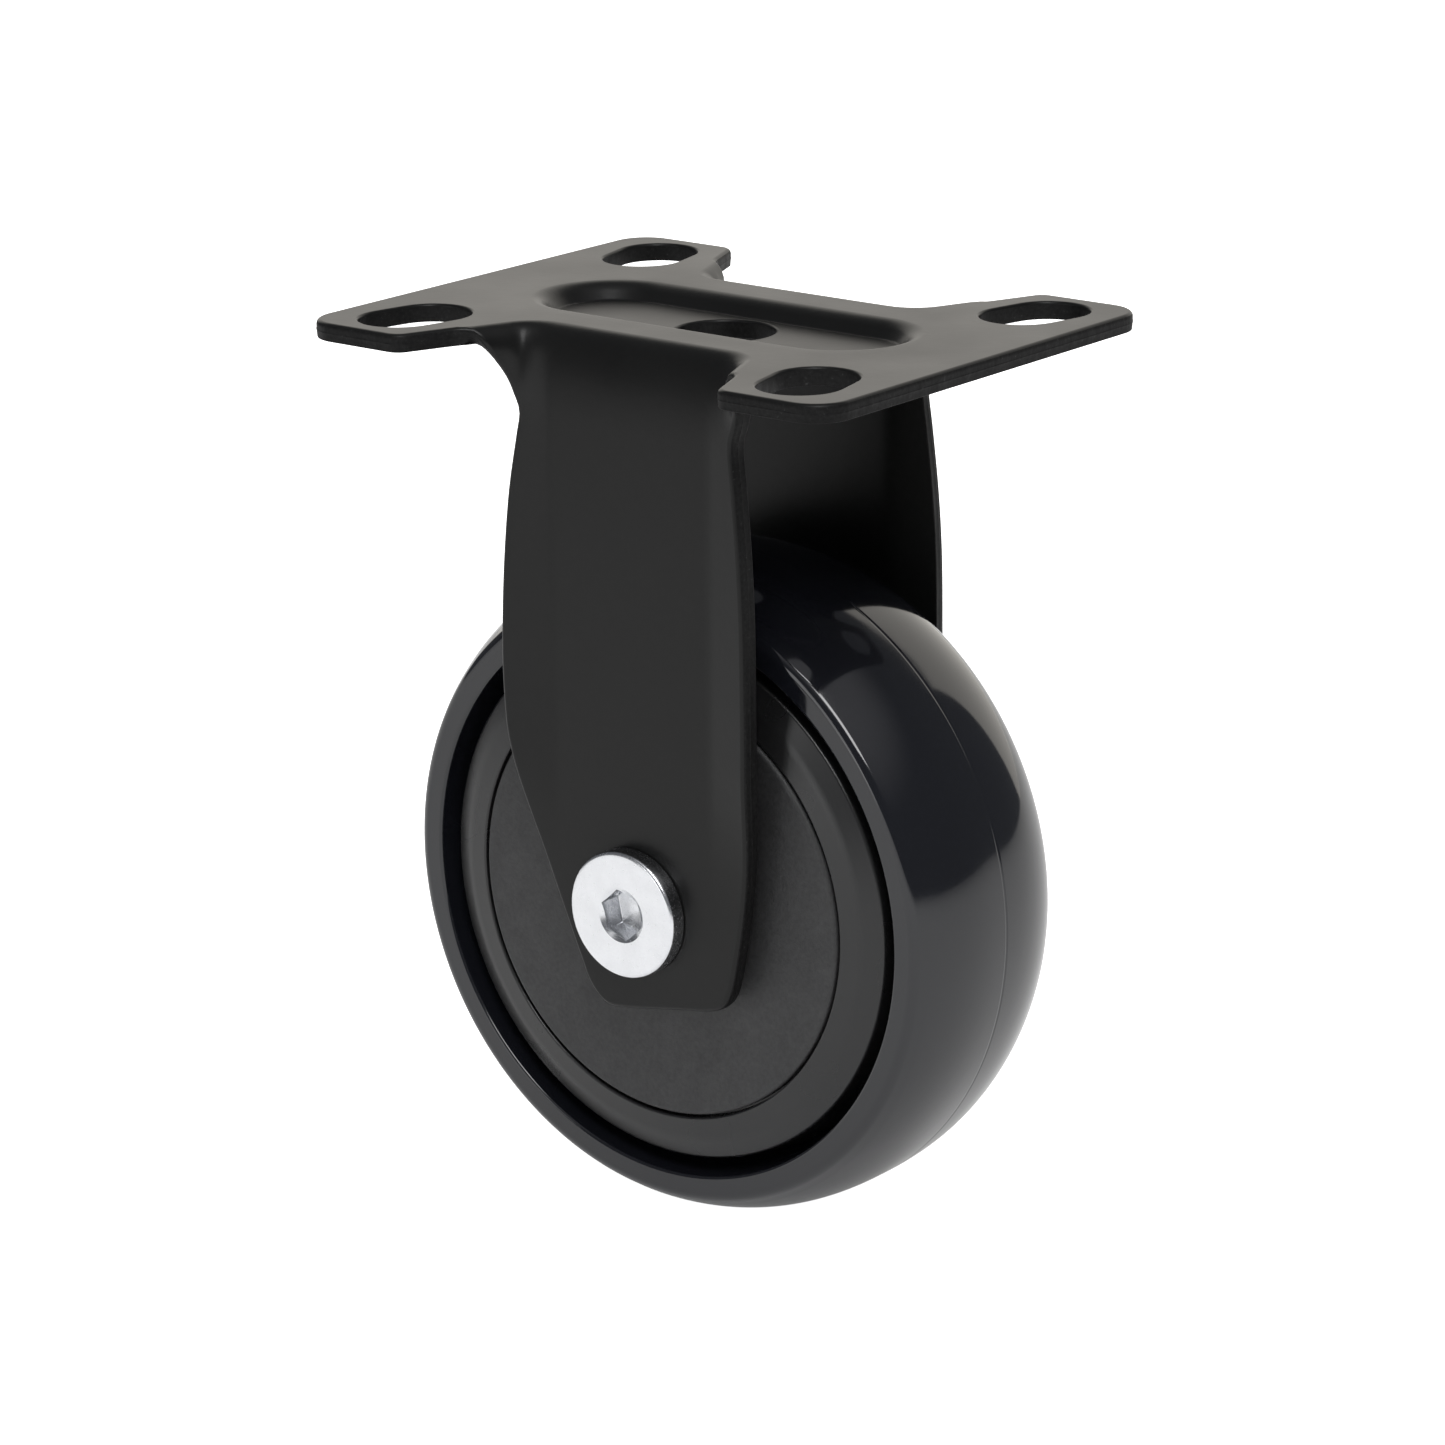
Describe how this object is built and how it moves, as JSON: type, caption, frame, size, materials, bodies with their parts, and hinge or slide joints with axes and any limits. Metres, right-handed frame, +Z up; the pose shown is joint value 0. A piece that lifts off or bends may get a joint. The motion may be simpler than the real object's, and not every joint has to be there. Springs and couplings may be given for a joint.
{
  "type": "fixed castor",
  "caption": "Fixed castor with a pressed steel fork, an H-shaped slotted mounting plate and a crowned ball-bearing wheel on a barrel bolt.",
  "frame": {"origin": "centre of the mounting plate's top face", "axes": "+Z up out of the plate's top face, +X along the rolling direction, +Y along the axle, with the bolt's head on the -Y side"},
  "size_m": [0.075, 0.0576, 0.1004],
  "materials": {
    "fork_paint": "satin",
    "tyre": "gloss",
    "core_plastic": "satin",
    "cover_plastic": "matte",
    "zinc": "satin",
    "bearing_steel": "satin",
    "ball_steel": "polished",
    "cage_brass": "satin"
  },
  "bodies": {
    "fork": {"fork_plate": "fork_paint", "axle_bolt": "zinc", "axle_screw": "zinc", "bush_right": "zinc", "bush_left": "zinc", "bearing_spacer": "zinc", "inner_ring_right": "bearing_steel", "inner_ring_left": "bearing_steel"},
    "wheel": {"tyre": "tyre", "hub_core": "core_plastic", "cover_right": "cover_plastic", "cover_left": "cover_plastic", "outer_ring_right": "bearing_steel", "outer_ring_left": "bearing_steel", "shields_right": "bearing_steel", "shields_left": "bearing_steel"},
    "ball_set_right": {"balls_right": "ball_steel", "cage_right": "cage_brass"},
    "ball_set_left": {"balls_left": "ball_steel", "cage_left": "cage_brass"}
  },
  "joints": [
    {"name": "wheel_spin", "type": "hinge", "parent": "fork", "child": "wheel", "pos_m": [0, 0, -0.0629], "axis": [0, 1, 0], "continuous": true},
    {"name": "balls_right_orbit", "type": "hinge", "parent": "fork", "child": "ball_set_right", "pos_m": [0, -0.0077, -0.0629], "axis": [0, 1, 0], "continuous": true},
    {"name": "balls_left_orbit", "type": "hinge", "parent": "fork", "child": "ball_set_left", "pos_m": [0, 0.0077, -0.0629], "axis": [0, 1, 0], "continuous": true}
  ],
  "couplings": [
    {"joint": "balls_right_orbit", "follows": "wheel_spin", "ratio": 0.6313},
    {"joint": "balls_left_orbit", "follows": "wheel_spin", "ratio": 0.6313}
  ]
}
